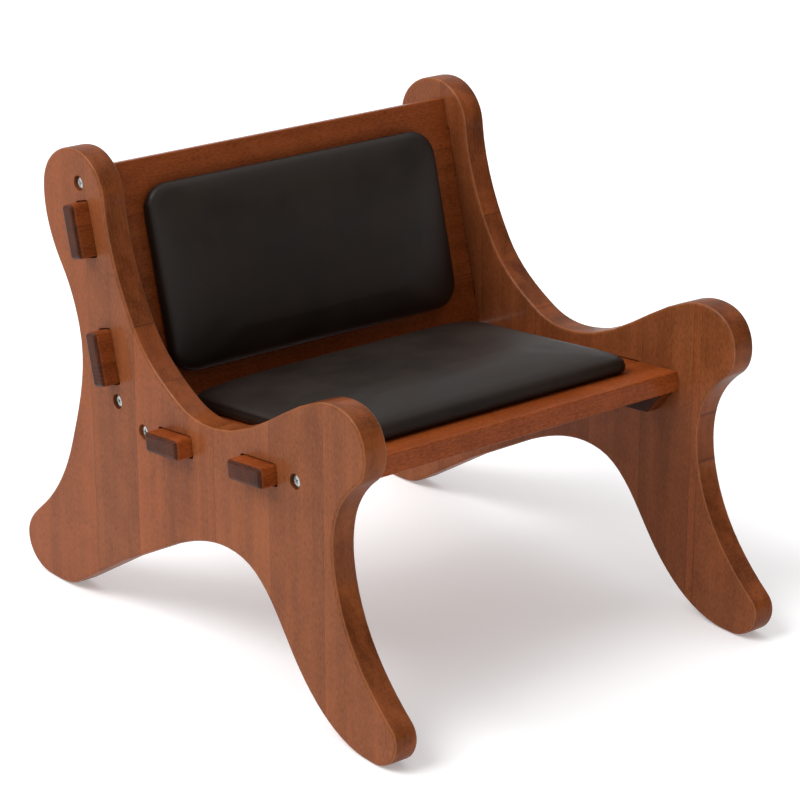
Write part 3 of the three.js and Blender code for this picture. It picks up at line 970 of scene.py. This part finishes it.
def crown(pad, drawn_in):
    """Height of the cut cover at a distance inside its rim, by x: steep at the rim, flat in the
    middle, and lower towards its two ends."""
    rise = pad["height"] - PAD_SWELL - PAD_WALL
    to_rim = 1 - drawn_in / (pad["depth"] / 2)
    full = rise * math.sqrt(1 - to_rim**4)
    return lambda x: PAD_WALL + full * (1 - PAD_END_DROP * (2 * x / PAD_WIDTH) ** 4)


def pad_section(pad, drawn_in, rounding=-1.0):
    """The pad's rounded outline drawn in by a distance, with points along its straight sides.

    Its corner radius grows by rounding for each unit that it is drawn in.
    """
    half = Vector((PAD_WIDTH / 2 - drawn_in, pad["depth"] / 2 - drawn_in))
    corner = min(max(pad["corner"] + rounding * drawn_in, 1), 0.6 * half.y)
    return rounded_rectangle(-half, half, corner, steps=5, margin=0.3 * half.y)


def layered_block(name, pad, stations, finish, rounding=-1.0):
    """A closed block from (drawn in, height) stations, whose height may be a function of x."""
    shell = Shell()
    rings = []
    for drawn_in, height in stations:
        section = pad_section(pad, drawn_in, rounding)
        rings.append(shell.ring(
            (*point, height(point.x) if callable(height) else height) for point in section))
    shell.loft(rings)
    shell.cap(rings[0])
    shell.cap(rings[-1])
    return shell.piece(name, [finish], 60)


def slack_cushion(name, pad):
    """The cover before it is filled: straight walls under a rounded edge and a low crown."""
    stations = [(0.3, GAP), (0, GAP + 0.3), (0, PAD_WALL)]
    stations += [(distance, crown(pad, distance)) for distance in COVER_RINGS]
    return layered_block(name, pad, stations, pad_skin, PAD_CORNER_GROWTH)


def even_out(values, edges, rounds):
    """Averages a value at each vertex with those of its neighbours, over and over."""
    count = np.zeros(len(values))
    np.add.at(count, edges.ravel(), 1)
    for _ in range(rounds):
        total = np.zeros_like(values)
        np.add.at(total, edges[:, 0], values[edges[:, 1]])
        np.add.at(total, edges[:, 1], values[edges[:, 0]])
        values = 0.5 * values + 0.5 * total / count[:, None]
    return values


def places_of(mesh):
    places = np.empty(len(mesh.vertices) * 3)
    mesh.vertices.foreach_get("co", places)
    return places.reshape(-1, 3)


def swell(pillow):
    """Blows the pillow up as cloth, with its walls held to the plywood inside them."""
    remesh = pillow.modifiers.new("remesh", "REMESH")
    remesh.mode = "VOXEL"
    remesh.voxel_size = CLOTH_VOXEL * MM
    bake_modifiers(pillow)
    rest = places_of(pillow.data)
    normals = np.array([vertex.normal[:] for vertex in pillow.data.vertices])
    held_below = (PAD_WALL + 1) * MM
    held = pillow.vertex_groups.new(name="held")
    held.add([int(i) for i in np.flatnonzero(rest[:, 2] < held_below)], 1.0, "ADD")
    cloth = pillow.modifiers.new("cloth", "CLOTH")
    cloth.settings.use_pressure = True
    cloth.settings.uniform_pressure_force = CLOTH_PRESSURE
    cloth.settings.effector_weights.gravity = 0
    cloth.settings.vertex_group_mass = "held"
    cloth.point_cache.frame_start = 1
    cloth.point_cache.frame_end = CLOTH_FRAMES
    for step in range(CLOTH_FRAMES):
        bpy.context.scene.frame_set(step + 1)
    bake_modifiers(pillow)
    bpy.context.scene.frame_set(1)
    move = places_of(pillow.data) - rest
    inwards = np.einsum("ij,ij->i", move, normals) < 0
    move[inwards] *= CLOTH_INWARD_SHARE
    length = np.linalg.norm(move, axis=1, keepdims=True)
    move *= np.minimum(1, PAD_SWELL * MM / np.maximum(length, 1e-9))
    edges = np.array([edge.vertices[:] for edge in pillow.data.edges])
    move = even_out(move, edges, CLOTH_EVEN_ROUNDS)
    move[rest[:, 2] < PAD_WALL * MM] *= CLOTH_WALL_SHARE
    pillow.data.vertices.foreach_set("co", (rest + move).ravel())


def fit_height(pillow, height):
    """Scales what stands above the straight walls so that the crown has its height."""
    places = places_of(pillow.data)
    wall = PAD_WALL * MM
    above = np.maximum(places[:, 2] - wall, 0)
    places[:, 2] += above * ((height * MM - wall) / above.max() - 1)
    places[:, 2] = np.maximum(places[:, 2], GAP * MM)
    pillow.data.vertices.foreach_set("co", places.ravel())


def press_crease(pillow, height):
    """A shallow crease round the walls, where the cover turns over the plywood's top edge."""
    depth, spread = CREASE["depth"] * MM, CREASE["spread"] * MM
    normals = np.array([vertex.normal[:] for vertex in pillow.data.vertices])
    places = places_of(pillow.data)
    amount = depth * np.exp(-(((places[:, 2] - height * MM) / spread) ** 2))
    places[:, :2] -= normals[:, :2] * amount[:, None]
    pillow.data.vertices.foreach_set("co", places.ravel())


def pad_pieces(name):
    """A pad's filled cover, plywood base and foam block, placed on its board."""
    board = BOARDS[name]
    pad = board["pad"]
    cushion = slack_cushion(f"{name}_cushion", pad)
    swell(cushion)
    fit_height(cushion, pad["height"])
    subdivide = cushion.modifiers.new("subdivide", "SUBSURF")
    subdivide.levels = 1
    subdivide.render_levels = 1
    bake_modifiers(cushion)
    if pad["crease"]:
        press_crease(cushion, pad["crease"])
    smooth(cushion.data, 80)
    base = layered_block(f"{name}_pad_plywood", pad, PLYWOOD_RINGS, pad_plywood)
    block = layered_block(
        f"{name}_pad_foam_block", pad, FOAM_RINGS, pad_foam, PAD_CORNER_GROWTH)
    middle = board_matrix(board) @ moved(0, pad["start"] + pad["depth"] / 2, 0)
    pieces = [
        (cushion, "pad_cover", "cover"), (base, "pad_plywood", "base"),
        (block, "pad_foam", "foam"),
    ]
    for piece, slot, node in pieces:
        piece.matrix_world = middle
        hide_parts(f"{name}_pad_{node}")
        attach(piece, "root")


# ---------------------------------------------------------------- studio


def ground():
    corners = [(-1, -1), (1, -1), (1, 1), (-1, 1)]
    shell = Shell()
    shell.face(shell.ring([(x * FLOOR_REACH, y * FLOOR_REACH, 0) for x, y in corners]))
    floor = shell.piece("studio_floor", [studio_floor()])
    floor.location.z = -FLOOR_DROP
    floor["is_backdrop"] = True


def sky():
    """A white surrounding light that is strongest from one direction."""
    world = bpy.data.worlds.new("studio")
    bpy.context.scene.world = world
    world.use_nodes = True
    nodes = world.node_tree.nodes
    links = world.node_tree.links
    place = nodes.new("ShaderNodeTexCoord")
    towards_light = nodes.new("ShaderNodeVectorMath")
    towards_light.operation = "DOT_PRODUCT"
    towards_light.inputs[1].default_value = SKY_LIGHT_FROM
    brightness = nodes.new("ShaderNodeMapRange")
    for limit, strength in zip(("To Min", "To Max"), SKY_STRENGTH):
        brightness.inputs[limit].default_value = strength
    links.new(place.outputs["Generated"], towards_light.inputs[0])
    links.new(towards_light.outputs["Value"], brightness.inputs["Value"])
    links.new(brightness.outputs["Result"], nodes["Background"].inputs["Strength"])
    nodes["Background"].inputs["Color"].default_value = (1, 1, 1, 1)


def lamps():
    for name, towards, strength, spread in LAMPS:
        lamp = bpy.data.lights.new(name, "SUN")
        lamp.energy = strength
        lamp.angle = math.radians(spread)
        holder = bpy.data.objects.new(name, lamp)
        holder.rotation_mode = "QUATERNION"
        holder.rotation_quaternion = Vector(towards).to_track_quat("Z", "Y")
        bpy.context.scene.collection.objects.link(holder)


def camera():
    view = bpy.data.cameras.new("camera")
    view.sensor_width = 36
    view.lens = CAMERA["lens"]
    holder = bpy.data.objects.new("camera", view)
    holder.location = CAMERA["place"]
    holder.rotation_euler = [math.radians(angle) for angle in CAMERA["angles"]]
    bpy.context.scene.collection.objects.link(holder)
    bpy.context.scene.camera = holder
    bpy.context.scene.view_settings.view_transform = "Standard"


# ---------------------------------------------------------------- assembly

ground()
sky()
lamps()
camera()
for side_name in SIDES:
    side_panel(side_name)
    cleat(side_name)
for board_name in BOARDS:
    board_piece(board_name)
    pad_pieces(board_name)
fasteners()

bpy.context.view_layer.update()
boxes = {"cad": cad_box, "visual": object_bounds()}
{name: [list(corner) for corner in box] for name, box in boxes.items()}
